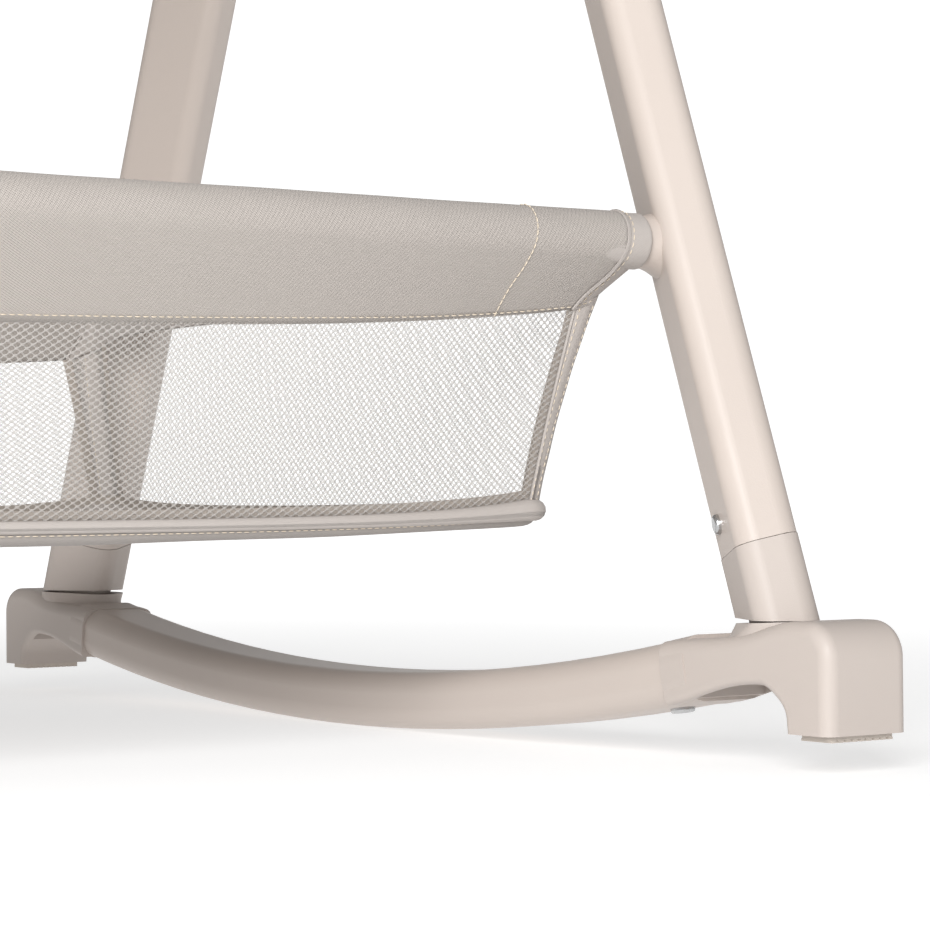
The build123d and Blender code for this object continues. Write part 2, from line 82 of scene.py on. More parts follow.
class Shader:
    """A Principled material and short ways to add nodes to it."""

    def __init__(self, name, color, rough=0.6, specular=0.4):
        self.mat = bpy.data.materials.new(name)
        self.mat.use_nodes = True
        self.tree = self.mat.node_tree
        self.main = self.tree.nodes["Principled BSDF"]
        self.color = color
        self.set("Base Color", color)
        self.set("Roughness", rough)
        self.set("Specular IOR Level", specular)

    def set(self, socket, value):
        self.main.inputs[socket].default_value = value

    def node(self, kind, **values):
        n = self.tree.nodes.new(kind)
        for key, value in values.items():
            setattr(n, key, value)
        return n

    def link(self, a, b):
        self.tree.links.new(a, b)

    def coords(self, kind):
        return self.node("ShaderNodeTexCoord").outputs[kind]

    def math(self, operation, a, b=0.0):
        n = self.node("ShaderNodeMath", operation=operation)
        for socket, value in zip(n.inputs, (a, b)):
            if isinstance(value, (int, float)):
                socket.default_value = value
            else:
                self.link(value, socket)
        return n.outputs[0]

    def wave(self, coords, direction, period):
        """sin of the distance along direction, from -1 to 1."""
        dot = self.node("ShaderNodeVectorMath", operation="DOT_PRODUCT")
        self.link(coords, dot.inputs[0])
        dot.inputs[1].default_value = (*direction, 0.0)
        return self.math("SINE", self.math("MULTIPLY", dot.outputs["Value"], 2 * math.pi / period))

    def noise(self, coords, scale, detail=2.0):
        n = self.node("ShaderNodeTexNoise")
        n.inputs["Scale"].default_value = scale
        n.inputs["Detail"].default_value = detail
        self.link(coords, n.inputs["Vector"])
        return n.outputs["Fac"]

    def ramp(self, value, low, high, dark, light):
        """Colour from dark to light as value goes from low to high."""
        spread = self.node("ShaderNodeMapRange")
        spread.inputs["From Min"].default_value = low
        spread.inputs["From Max"].default_value = high
        self.link(value, spread.inputs["Value"])
        mix = self.node("ShaderNodeMix", data_type="RGBA")
        mix.inputs["A"].default_value = dark
        mix.inputs["B"].default_value = light
        self.link(spread.outputs["Result"], mix.inputs["Factor"])
        color = next(o for o in mix.outputs if o.type == "RGBA")
        self.link(color, self.main.inputs["Base Color"])

    def bump(self, height, distance):
        n = self.node("ShaderNodeBump")
        n.inputs["Distance"].default_value = distance
        self.link(height, n.inputs["Height"])
        self.link(n.outputs["Normal"], self.main.inputs["Normal"])

    def rough_from(self, value, low, high):
        spread = self.node("ShaderNodeMapRange")
        spread.inputs["To Min"].default_value = low
        spread.inputs["To Max"].default_value = high
        self.link(value, spread.inputs["Value"])
        self.link(spread.outputs["Result"], self.main.inputs["Roughness"])


PAINT = linear(194, 183, 175)
PLASTIC = linear(187, 177, 170)
TWILL = linear(174, 167, 161)
BAND = linear(178, 171, 166)
NET = linear(188, 184, 180)
THREAD = linear(214, 201, 182)


def coated(name, color, grain, depth, rough):
    """Paint or moulded plastic with a fine surface grain."""
    s = Shader(name, color)
    at = s.coords("Object")
    fine = s.noise(at, grain, 3.0)
    wide = s.noise(at, 9.0, 2.0)
    s.ramp(wide, 0.3, 0.7, scaled(color, 0.975), scaled(color, 1.02))
    s.rough_from(fine, *rough)
    s.bump(fine, depth)
    return s.mat


def woven(name, color, rib, grain, depth, contrast):
    """Twill: rib is the spacing of its diagonal ribs and grain that of its threads, in mm of the cloth."""
    s = Shader(name, color, 0.85, 0.25)
    uv = s.coords("UV")
    ribs = s.wave(uv, (0.86, 0.51), rib)
    warp = s.wave(uv, (1.0, 0.0), grain)
    weft = s.wave(uv, (0.35, 1.0), grain * 0.92)
    cell = s.math("MULTIPLY", warp, weft)
    height = s.math("ADD", s.math("MULTIPLY", ribs, 0.35), s.math("MULTIPLY", cell, 0.85))
    s.ramp(height, -1.0, 1.0, scaled(color, 1 - contrast), scaled(color, 1 + contrast * 0.55))
    s.bump(height, depth)
    s.set("Sheen Weight", 0.12)
    s.set("Sheen Roughness", 0.5)
    return s.mat


def plain_cloth(name, color, grain, depth, contrast, rough=0.8):
    """Plain woven tape."""
    s = Shader(name, color, rough, 0.25)
    uv = s.coords("UV")
    height = s.math("MULTIPLY", s.wave(uv, (1.0, 0.0), grain), s.wave(uv, (0.0, 1.0), grain))
    s.ramp(height, -1.0, 1.0, scaled(color, 1 - contrast), scaled(color, 1 + contrast))
    s.bump(height, depth)
    s.set("Sheen Weight", 0.1)
    return s.mat


def threads(name, color, depth, alpha=1.0):
    """Sewing or netting yarn."""
    s = Shader(name, color, 0.55, 0.35)
    fuzz = s.noise(s.coords("Object"), 2500.0, 2.0)
    s.ramp(fuzz, 0.3, 0.7, scaled(color, 0.93), scaled(color, 1.04))
    s.bump(fuzz, depth)
    s.set("Alpha", alpha)
    return s.mat


def metal(name, color, rough):
    """Plated steel with faint unevenness."""
    s = Shader(name, color, rough)
    s.set("Metallic", 1.0)
    swirl = s.noise(s.coords("Object"), 700.0, 2.0)
    s.rough_from(swirl, rough - 0.06, rough + 0.08)
    s.bump(swirl, 0.00002)
    return s.mat


paint = coated("powder_coat", PAINT, 1400.0, 0.00004, (0.36, 0.46))
plastic = coated("moulded_plastic", PLASTIC, 2600.0, 0.00005, (0.42, 0.55))
button = coated("button_plastic", linear(188, 179, 170), 2000.0, 0.00003, (0.4, 0.5))
rubber = coated("pad_rubber", linear(196, 187, 178), 1800.0, 0.00006, (0.68, 0.8))
steel = metal("bright_steel", linear(196, 197, 198), 0.24)
hardboard = coated("hardboard", linear(172, 146, 112), 900.0, 0.0001, (0.7, 0.85))
twill = woven("twill", TWILL, 1.75, 1.15, 0.00016, 0.12)
band = plain_cloth("woven_band", BAND, 0.8, 0.00006, 0.035)
# The woven band darkened to 72% is painted shade for the basket's bottom, which curves away underneath into
# shadow.
shaded_band_cloth = plain_cloth("shaded_band_cloth", scaled(BAND, 0.72), 0.8, 0.00006, 0.035)
lining = plain_cloth("lining", linear(206, 200, 194), 0.9, 0.00006, 0.04)
# Seam allowance cloth in a darker tone: the doubled strips are real, and their darkness is painted shade
# where they lie in shadow behind the net.
painted_shade_allowance = plain_cloth("seam_tape_painted_shade", linear(168, 159, 151), 0.8, 0.00006, 0.05)
net_thread = threads("net_thread", NET, 0.00002, alpha=0.64)
stitch_thread = threads("stitch_thread", THREAD, 0.00003)
jersey = plain_cloth("quilt_jersey", linear(228, 224, 219), 1.1, 0.00008, 0.03, 0.9)

SLOT_FINISH = {
    "frame_paint": paint,
    "moulded_plastic": plastic,
    "button_plastic": button,
    "pad_rubber": rubber,
    "bright_steel": steel,
    "board": hardboard,
}


def finish_cad():
    for part in frame["record"]["subparts"]:
        made = SLOT_FINISH.get(part["material_slot"])
        node = bpy.data.objects.get(part["node"])
        if made is None or node is None:
            continue
        node.data.materials.clear()
        node.data.materials.append(made)


# ---------------------------------------------------------------- mesh building


def piece(name, points, faces, mat, body, uv):
    """A mesh piece in the row frame. points are millimetres; uv is per point, in mm of cloth."""
    mesh = bpy.data.meshes.new(name)
    mesh.from_pydata((np.asarray(points) * MM).tolist(), [], [tuple(int(i) for i in f) for f in faces])
    mesh.materials.append(mat)
    corner = np.zeros(len(mesh.loops), np.int32)
    mesh.loops.foreach_get("vertex_index", corner)
    layer = mesh.uv_layers.new(name="cloth")
    layer.data.foreach_set("uv", np.asarray(uv, np.float32)[corner].ravel())
    mesh.polygons.foreach_set("use_smooth", np.ones(len(mesh.polygons), bool))
    mesh.update()
    ob = bpy.data.objects.new(name, mesh)
    bpy.context.collection.objects.link(ob)
    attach(ob, body)
    return ob


def grid_faces(rows, cols, closed_rows=False, closed_cols=False):
    """Quads between the points of a grid; a closed side joins its last line to its first."""
    r = np.arange(rows if closed_rows else rows - 1)
    c = np.arange(cols if closed_cols else cols - 1)
    a, b = np.meshgrid(r, c, indexing="ij")
    a, b = a.ravel(), b.ravel()
    a2, b2 = (a + 1) % rows, (b + 1) % cols
    return np.stack([a * cols + b, a2 * cols + b, a2 * cols + b2, a * cols + b2], 1).tolist()


def lengths(line):
    """Distance along a polyline at each of its points."""
    steps = np.linalg.norm(np.diff(line, axis=0), axis=1)
    return np.concatenate([[0.0], np.cumsum(steps)])


def grid_uv(points):
    """Millimetres along and across a grid of points, for weaves that don't stretch."""
    rows, cols = points.shape[:2]
    along = np.stack([lengths(points[:, j]) for j in range(cols)], 1)
    across = np.stack([lengths(points[i]) for i in range(rows)], 0)
    along = np.broadcast_to(along.mean(1)[:, None], along.shape)
    return np.stack([along, across], -1).reshape(-1, 2)


def cloth(name, points, mat, body, closed_rows=False, thick=0.0, uv=None):
    """A grid of points as a sheet of cloth."""
    rows, cols = points.shape[:2]
    faces = grid_faces(rows, cols, closed_rows)
    ob = piece(name, points.reshape(-1, 3), faces, mat, body, grid_uv(points) if uv is None else uv)
    if thick:
        solid = ob.modifiers.new("thickness", "SOLIDIFY")
        solid.thickness = thick * MM
        solid.offset = -1.0
    return ob


class Pile:
    """Collects points and faces from several parts into one mesh."""

    def __init__(self):
        self.points, self.faces, self.uv, self.count = [], [], [], 0

    def add(self, points, faces, uv=None):
        points = np.asarray(points).reshape(-1, 3)
        self.points.append(points)
        self.faces.extend([[i + self.count for i in f] for f in faces])
        self.uv.append(np.zeros((len(points), 2)) if uv is None else uv)
        self.count += len(points)

    def add_grid(self, points, closed_rows=False, closed_cols=False):
        rows, cols = points.shape[:2]
        self.add(points, grid_faces(rows, cols, closed_rows, closed_cols), grid_uv(points))

    def make(self, name, mat, body, slot):
        return piece(name, np.concatenate(self.points), self.faces, mat, body, np.concatenate(self.uv))


def unit(v):
    return v / np.maximum(np.linalg.norm(v, axis=-1, keepdims=True), 1e-9)


def resample(line, step):
    """Points every step mm along a polyline."""
    at = lengths(line)
    n = max(2, int(round(at[-1] / step)) + 1)
    want = np.linspace(0, at[-1], n)
    return np.stack([np.interp(want, at, line[:, k]) for k in range(line.shape[1])], 1)


def tube(pile, line, radius, outward, closed=False, flat=1.0, sides=10):
    """A cord of cloth along line. flat squeezes it along outward, as a pressed piping."""
    ahead = np.roll(line, -1, 0) - np.roll(line, 1, 0)
    if not closed:
        ahead[0], ahead[-1] = line[1] - line[0], line[-1] - line[-2]
    ahead = unit(ahead)
    out = unit(outward - (outward * ahead).sum(1, keepdims=True) * ahead)
    up = np.cross(ahead, out)
    angle = np.linspace(0, 2 * math.pi, sides, endpoint=False)
    radius = np.broadcast_to(np.asarray(radius, float), (len(line),))
    flat = np.broadcast_to(np.asarray(flat, float), (len(line),))
    ring = (
        line[:, None]
        + (radius * flat)[:, None, None] * np.cos(angle)[None, :, None] * out[:, None]
        - radius[:, None, None] * np.sin(angle)[None, :, None] * up[:, None]
    )
    pile.add_grid(ring, closed, True)
    if not closed:
        for k, flip in ((0, -1), (-1, 1)):
            tip = line[k] + flip * ahead[k] * radius[k] * 0.6
            points = np.vstack([ring[k], tip])
            fan = [[i, (i + 1) % sides, sides][::flip] for i in range(sides)]
            pile.add(points, fan)


def sew(pile, line, outward, period=3.5, dash=2.55, r=0.27, lift=0.12):
    """Topstitching: one bead of thread per stitch along line."""
    both = np.hstack([line, outward])
    at = lengths(line)
    count = max(1, int(at[-1] / period))
    gap = at[-1] / count
    ends = np.array([-0.5, -0.38, 0.0, 0.38, 0.5]) * dash
    fat = np.array([0.05, 0.78, 1.0, 0.78, 0.05]) * r
    dip = np.array([-0.9, -0.1, 0.25, -0.1, -0.9]) * r
    sides = 6
    angle = np.linspace(0, 2 * math.pi, sides, endpoint=False)
    centre = (np.arange(count) + 0.5) * gap
    where = centre[:, None] + ends[None]
    got = np.stack([np.interp(where, at, both[:, k]) for k in range(6)], -1)
    pos, out = got[..., :3], unit(got[..., 3:])
    ahead = unit(pos[:, -1:] - pos[:, :1])
    side = np.cross(ahead, out)
    core = pos + out * (lift + dip)[None, :, None]
    cosine, sine = np.cos(angle)[:, None], np.sin(angle)[:, None]
    ring = core[:, :, None] + fat[None, :, None, None] * (cosine * out[:, :, None] - sine * side[:, :, None])
    faces = np.array(grid_faces(len(ends), sides, False, True))
    for k in range(count):
        pile.add(ring[k], faces.tolist())


# ---------------------------------------------------------------- storage basket, shapes

SLEEVE_Y, SLEEVE_Z, SLEEVE_R = 252.0, 226.3, 12.5
HEM_Y, HEM_END_Z = 240.2, 196.4
CUT_EDGE = END_X - 21.2
BINDING_X = END_X - 45.6
CORNER_X = END_X - 47.0
EDGE_X, EDGE_Y, EDGE_Z, EDGE_CORNER = 412.5, 206.0, 113.7, 9.0
PATH_CORNER = 15.0
WALL_CORNER = 8.5
PANEL_RISE = 82.5
NET_RELIEF = 0.16
BASKET_HOLE, CRADLE_HOLE = (4.4, 3.0), (5.2, 3.6)


def seam_inset(z, top, lean, step, level, spread):
    """How far in from the end a seam runs at height z: it starts at top over the tube, leans inwards on
    its way down, and swings in by step round the given level."""
    return top + lean * (SLEEVE_Z + SLEEVE_R - z) + step / (1 + np.exp((z - level) / spread))


def end_seam_x(z):
    """Where the twill ends, from the hem up to the top of the tube."""
    return END_X - seam_inset(z, 33.0, 0.093, 10.3, 205.5, 3.0)


def cross_seam_x(z):
    """The topstitched seam across the twill, a little in from its end."""
    return END_X - seam_inset(z, 82.4, 0.086, 2.9, 207.5, 2.5)


def hem_z_long(x, side):
    """Height of a long hem: the front one, where side is negative, hangs lower than the back one."""
    d = END_X - 46 - np.abs(x)
    droop = np.where(np.asarray(side) < 0, 15.4, 9.5)
    return HEM_END_Z - np.where(d > 0, droop * (1 - np.exp(-np.maximum(d, 0) / 120)), 0.3 * d)


def edge_drop(d):
    """How far the bottom edge hangs down, d mm from the corner."""
    return 7.4 * (1 - np.exp(-np.maximum(d, 0) / 50))


def low_drop(d):
    """How far the underside hangs down, d mm from the corner."""
    return 6.8 * (1 - np.exp(-np.maximum(d, 0) / 150))


def from_corner(pts, turned):
    """Distance of an outline's points from the bottom corner, along the side that they are on."""
    return np.where(turned < 0.5, CORNER_X - np.abs(pts[:, 0]), EDGE_Y - EDGE_CORNER - np.abs(pts[:, 1]))


def wall_half_x(h):
    """Half length of the basket at height h, from its bottom edge (0) to the hem (1)."""
    return EDGE_X + 1.0 * h + 6.0 * h * h


def wall_half_y(h):
    return EDGE_Y + (HEM_Y - EDGE_Y) * h - 1.2 * np.sin(math.pi * h)


def edge_z_long(x):
    return EDGE_Z - edge_drop(CORNER_X - np.abs(x))


def edge_z_end(y):
    return EDGE_Z - edge_drop(EDGE_Y - WALL_CORNER - np.abs(y))


def hem_z_end(y):
    d = np.maximum(HEM_Y - WALL_CORNER - np.abs(y), 0)
    return 202.5 + 7.5 * (1 - np.exp(-d / 18))


def rounded(half_x, half_y, r, n_x, n_y, n_c):
    """A closed rounded rectangle from the front's left end round to the right: points, outward
    normals, and how far each point has turned from the long sides (0) to the ends (1)."""
    pts, nrm = [], []
    ix, iy = half_x - r, half_y - r
    for k in range(4):
        c, s = [(0, -1), (1, 0), (0, 1), (-1, 0)][k]
        n = n_x if k % 2 == 0 else n_y
        f = np.linspace(-1, 1, n)
        if k % 2 == 0:
            p = np.stack([-s * f * ix, np.full(n, s * half_y)], 1)
        else:
            p = np.stack([np.full(n, c * half_x), c * f * iy], 1)
        pts.append(p)
        nrm.append(np.tile([c, s], (n, 1)).astype(float))
        a = math.radians(-90 + 90 * k) + np.linspace(0, math.pi / 2, n_c + 2)[1:-1]
        corner = [(1, -1), (1, 1), (-1, 1), (-1, -1)][k]
        d = np.stack([np.cos(a), np.sin(a)], 1)
        pts.append(np.array(corner) * (ix, iy) + r * d)
        nrm.append(d)
    pts, nrm = np.concatenate(pts), np.concatenate(nrm)
    turned = np.arctan2(np.abs(nrm[:, 0]), np.abs(nrm[:, 1])) / (math.pi / 2)
    return pts, nrm, turned


def basket_level(h, n_c=7):
    """The basket wall's outline at height h, from its bottom edge (0) to the hem (1)."""
    pts, nrm, turned = rounded(wall_half_x(h), wall_half_y(h), WALL_CORNER, 121, 61, n_c)
    x, y = pts[:, 0], pts[:, 1]
    long_hem, end_hem = hem_z_long(x, y), hem_z_end(y)
    long_edge, end_edge = edge_z_long(x), edge_z_end(y)
    hem = long_hem * (1 - turned) + end_hem * turned
    edge = long_edge * (1 - turned) + end_edge * turned
    return np.column_stack([pts, edge + (hem - edge) * h]), np.column_stack([nrm, np.zeros(len(nrm))])


def sleeve_profile(centre, out, hem, radius, inner_bulge=0.0):
    """Cloth round a tube: up from the hem inside, over the tube, and down to the hem outside.
    centre, out and hem are (n, 3); the result is (n, rows, 3). inner_bulge eases the inner side."""
    n_skirt, n_round = 9, 26
    u = ((hem - centre) * out).sum(1)
    v = hem[:, 2] - centre[:, 2]
    far = np.hypot(u, v)
    direction = np.arctan2(v, u)
    spread = np.arccos(radius / far)
    outer, inner = direction + spread, direction - spread + 2 * math.pi
    turn = np.linspace(0, 1, n_round)
    angle = inner[:, None] + (outer - inner)[:, None] * turn
    bulge = 1 + np.broadcast_to(inner_bulge, u.shape)[:, None] * np.clip(-np.cos(angle), 0, 1)
    ring_u, ring_v = radius * np.cos(angle) * bulge, radius * np.sin(angle)
    f = np.linspace(0, 1, n_skirt + 1)
    in_u = (u - 0.5)[:, None] * (1 - f) + ring_u[:, :1] * f
    in_v = v[:, None] * (1 - f) + ring_v[:, :1] * f
    out_u = ring_u[:, -1:] * (1 - f) + u[:, None] * f
    out_v = ring_v[:, -1:] * (1 - f) + v[:, None] * f
    uu = np.hstack([in_u[:, :-1], ring_u, out_u[:, 1:]])
    vv = np.hstack([in_v[:, :-1], ring_v, out_v[:, 1:]])
    aside = hem - centre - u[:, None] * out
    aside[:, 2] = 0
    share = np.concatenate([1 - f[:-1], np.zeros(n_round), f[1:]])
    points = centre[:, None] + uu[..., None] * out[:, None] + share[None, :, None] * aside[:, None]
    points[..., 2] = centre[:, 2][:, None] + vv
    return points


def ripple(points, size, amount):
    """Small smooth unevenness of real cloth, as waves of the given size over the position."""
    p = np.asarray(points) / size
    x, y, z = p[..., 0], p[..., 1], p[..., 2]
    a = np.sin(x * 1.7 + 2.1 * np.sin(z * 0.9)) * np.sin(y * 1.3 + z * 1.1 + 0.7)
    b = np.sin(x * 0.61 + z * 2.3 + 1.9)
    return amount * (0.6 * a + 0.4 * b)


def normals_of(points):
    """Normals of a grid of points."""
    du = np.gradient(points, axis=0)
    dv = np.gradient(points, axis=1)
    return unit(np.cross(du, dv))


def long_sleeve(side, x):
    """The front or back sleeve's profile at the given x."""
    n = len(x)
    centre = np.column_stack([x, np.full(n, side * SLEEVE_Y), np.full(n, SLEEVE_Z)])
    out = np.tile([0.0, side, 0.0], (n, 1))
    hem = np.column_stack([x, np.full(n, side * HEM_Y), hem_z_long(x, side)])
    return sleeve_profile(centre, out, hem, SLEEVE_R)


def seam_line(side, end, where, lift=0.0):
    """The line where a seam at x = where(z) lies on a long sleeve, with outward directions."""
    rows = long_sleeve(side, np.array([end * 400.0]))[0]
    for _ in range(4):
        x = end * where(rows[:, 2])
        got = long_sleeve(side, x)
        rows = got[np.arange(len(x)), np.arange(got.shape[1])]
    out = rows - [0, side * SLEEVE_Y, SLEEVE_Z]
    out[:, 0] = 0
    skirt = np.arange(len(rows))
    below = rows[:, 2] < SLEEVE_Z - 8
    out = unit(out)
    down = np.array([0, side * 0.86, -0.5])
    outer = below & (skirt > len(rows) // 2)
    out[outer] = down
    out[below & ~outer] = [0, -side * 0.9, -0.4]
    return rows + out * lift, out


def skirt_line(side, x, above, lift):
    """A line that runs along the sleeve's outer skirt, above mm up from the hem."""
    got = long_sleeve(side, x)
    hem, up = got[:, -1], got[:, -2]
    way = unit(up - hem)
    out = np.tile(unit(np.array([0, side * 0.86, -0.5])), (len(x), 1))
    rise = np.broadcast_to(np.asarray(above, float), (len(x),))
    return hem + way * rise[:, None] + out * lift, out


# ---------------------------------------------------------------- storage basket, pieces


def rim_cover_long(name, side):
    """The twill sleeve over a long side of the rim, between the two end seams."""
    xi = np.linspace(-1, 1, 181)
    xi = np.sign(xi) * (1 - (1 - np.abs(xi)) ** 1.15)
    rows = long_sleeve(side, np.zeros(2))[0]
    count = len(rows)
    seam_z = rows[:, 2]
    points = np.zeros((len(xi), count, 3))
    for _ in range(2):
        for j in range(count):
            x = xi * (end_seam_x(np.full(len(xi), seam_z[j])))
            points[:, j] = long_sleeve(side, x)[:, j]
        seam_z = points[0, :, 2]
    out = normals_of(points)
    middle = points.mean(1, keepdims=True)
    out *= np.sign(((points - middle) * out).sum(-1, keepdims=True).mean(1, keepdims=True))
    points += out * ripple(points, 16.0, 0.22)[..., None]
    rows_v = lengths(points[len(xi) // 2])
    if side < 0:
        points = points[::-1]
    uv = np.stack([points[..., 0], np.broadcast_to(rows_v, points.shape[:2])], -1).reshape(-1, 2)
    ob = cloth(name, points, twill, "frame", thick=0.7, uv=uv)
    return ob


def end_run(points, end, beyond):
    """Indices of a closed outline's points past x = beyond at one end, in unbroken order."""
    half = len(points) // 2
    index = np.flatnonzero(points[:, 0] * end > beyond)
    if end < 0:
        index = (np.sort((index + half) % len(points)) - half) % len(points)
    return index


def end_cover(name, end):
    """Smooth woven cloth round the end of the rim and both corners, with short sleeves over the stubs."""
    pts, nrm, _ = rounded(427.5, SLEEVE_Y, PATH_CORNER, 121, 61, 9)
    low, _ = basket_level(1.0, 9)
    index = end_run(pts, end, 393)
    pts, nrm, hem = pts[index], nrm[index], low[index]
    centre = np.column_stack([pts, np.full(len(pts), SLEEVE_Z)])
    out = np.column_stack([nrm, np.zeros(len(nrm))])
    turning = np.abs(nrm[:, 0] * nrm[:, 1]) * 2
    points = sleeve_profile(centre, out, hem, SLEEVE_R - 0.45, 0.45 * turning)
    points += normals_of(points) * ripple(points, 14.0, 0.15)[..., None]
    pile = Pile()
    pile.add_grid(points[::-1])
    angle = np.linspace(0, 2 * math.pi, 41)
    from_edge = [26.8, 22.8, 17.8, 12.8, 8.8, 4.8, 1.8, 0.5, 0.0, 0.4]
    r = np.array([12.0, 12.05, 12.15, 12.2, 12.3, 12.3, 12.35, 12.35, 12.0, 11.4])
    x = end * (CUT_EDGE - np.array(from_edge))
    for side in SIDES.values():
        ring = np.zeros((len(x), len(angle), 3))
        ring[..., 0] = x[:, None]
        ring[..., 1] = side * (SLEEVE_Y + 0.2) + r[:, None] * np.cos(angle)
        ring[..., 2] = SLEEVE_Z - 0.2 + r[:, None] * np.sin(angle)
        pile.add_grid(ring)
    ob = pile.make(name, band, "frame", "binding_fabric")


def net_panel(name, surface, u_range, v_range, pitch, body, keep, flip):
    """Knitted net with six-sided holes. surface maps (u, v) in mm to points and outward normals."""
    a, b = pitch[0] / 2, pitch[1] / 2
    i = np.arange(math.floor(u_range[0] / a) - 1, math.ceil(u_range[1] / a) + 2)
    j = np.arange(math.floor(v_range[0] / b) - 1, math.ceil(v_range[1] / b) + 2)
    ii, jj = np.meshgrid(i, j, indexing="ij")
    even = ((ii + jj) % 2 == 0)
    cu, cv = ii[even] * a, jj[even] * b
    inside = keep(cu, cv)
    ci, cj = ii[even][inside], jj[even][inside]
    wide = len(j) + 4

    def node(di, dj):
        return (ci + di - i[0] + 1) * wide + (cj + dj - j[0] + 1)

    corners = np.stack([node(-1, 0), node(0, 1), node(1, 0), node(0, -1)], 1)
    used, back = np.unique(corners.ravel(), return_inverse=True)
    corners = back.reshape(-1, 4)
    u = (used // wide + i[0] - 1) * a
    v = (used % wide + j[0] - 1) * b
    hx, bx, hy = 0.66 * a, 0.32 * a, 0.6 * b
    hole = np.array([(-hx, 0), (-bx, hy), (bx, hy), (hx, 0), (bx, -hy), (-bx, -hy)])
    hu = ci[:, None] * a + hole[None, :, 0]
    hv = cj[:, None] * b + hole[None, :, 1]
    base = len(used)
    holes = base + np.arange(len(ci) * 6).reshape(-1, 6)
    all_u, all_v = np.concatenate([u, hu.ravel()]), np.concatenate([v, hv.ravel()])
    points, out = surface(all_u, all_v)
    lift = np.full(len(all_u), -NET_RELIEF * 0.7)
    lift[:base] = NET_RELIEF
    points = points + out * lift[:, None]
    left, top, right, bottom = corners.T
    h0, h1, h2, h3, h4, h5 = holes.T
    quads = [(left, h0, h1, top), (top, h2, h3, right), (right, h3, h4, bottom), (bottom, h5, h0, left)]
    tris = [(top, h1, h2), (bottom, h4, h5)]
    step = -1 if flip else 1
    faces = []
    for q in quads:
        faces.extend(np.stack(q[::step], 1).tolist())
    for t in tris:
        faces.extend(np.stack(t[::step], 1).tolist())
    return piece(name, points, faces, net_thread, body, np.column_stack([all_u, all_v]))


def basket_net_long(name, side):
    def surface(u, v):
        h = v / PANEL_RISE
        y = wall_half_y(h)
        z = edge_z_long(u) + (hem_z_long(u, side) - edge_z_long(u)) * h
        out = np.tile(unit(np.array([0.0, side * 0.91, -0.41])), (len(u), 1))
        return np.column_stack([u, side * y, z]), out

    def keep(u, v):
        h = v / PANEL_RISE
        return (v > -4) & (v < PANEL_RISE + 5) & (np.abs(u) < wall_half_x(h) - 6)

    ob = net_panel(name, surface, (-416, 416), (-4, 90), BASKET_HOLE, "frame", keep, side < 0)
    return ob


def basket_net_end(name, end):
    def surface(u, v):
        h = v / PANEL_RISE
        z = edge_z_end(u) + (hem_z_end(u) - edge_z_end(u)) * h
        out = np.tile(unit(np.array([end * 0.99, 0.0, -0.12])), (len(u), 1))
        return np.column_stack([end * wall_half_x(h), u, z]), out

    def keep(u, v):
        h = v / PANEL_RISE
        return (v > -4) & (v < PANEL_RISE + 3) & (np.abs(u) < wall_half_y(h) - 6)

    ob = net_panel(name, surface, (-242, 242), (-4, 88), BASKET_HOLE, "frame", keep, end < 0)


def corner_frame(end, side, h):
    """Points across a basket corner at heights h: flat part on the long side, the round corner,
    flat part on the end, as (rows, cols, 3), with their outward directions."""
    across = [0.0, 0.14, 0.3, 0.6, 0.86, 1.0, 1.2, 1.4, 1.6, 1.8, 2.0, 2.14, 2.4, 2.7, 2.86, 3.0]
    rows = []
    outs = []
    for hh in h:
        hx, hy = wall_half_x(hh), wall_half_y(hh)
        z_long = edge_z_long(hx - WALL_CORNER) * (1 - hh) + hem_z_long(hx - WALL_CORNER, side) * hh
        z_end = edge_z_end(hy - WALL_CORNER) * (1 - hh) + hem_z_end(hy - WALL_CORNER) * hh
        start = hx - WALL_CORNER - BINDING_X
        pts, out = [], []
        for t in across:
            if t <= 1:
                x, y, n = hx - WALL_CORNER - start * (1 - t), hy, (0.0, 1.0)
                turn = 0.0
            elif t < 2:
                a = (t - 1) * math.pi / 2
                n = (math.sin(a), math.cos(a))
                x = hx - WALL_CORNER + WALL_CORNER * n[0]
                y = hy - WALL_CORNER + WALL_CORNER * n[1]
                turn = t - 1
            else:
                x, y, n = hx, hy - WALL_CORNER - 6.0 * (t - 2), (1.0, 0.0)
                turn = 1.0
            pts.append((end * x, side * y, z_long * (1 - turn) + z_end * turn))
            out.append((end * n[0], side * n[1], -0.2))
        rows.append(pts)
        outs.append(out)
    return np.array(rows), unit(np.array(outs))


def corner_binding(name, end, side, stitches, cords):
    h = np.linspace(-0.06, 1.03, 30)
    points, out = corner_frame(end, side, h)
    lift = np.full(points.shape[1], 1.0)
    lift[0] = lift[-1] = 0.1
    lift[1] = lift[-2] = 0.7
    surface = points + out * lift[None, :, None]
    surface += out * ripple(surface, 9.0, 0.12)[..., None]
    shaped = surface if end * side > 0 else surface[:, ::-1]
    ob = cloth(name, shaped, band, "frame")
    for col in (0, -1):
        line = resample((points + out * 0.55)[1:-1, col], 3.0)
        tube(cords, line, 0.75, np.tile(out[0, col], (len(line), 1)), sides=8)
    for first, second, share in ((2, 3, 0.3), (6, 7, 0.4)):
        line = surface[1:-1, first] * (1 - share) + surface[1:-1, second] * share
        sew(stitches, line, out[1:-1, first], period=3.3, dash=2.4)


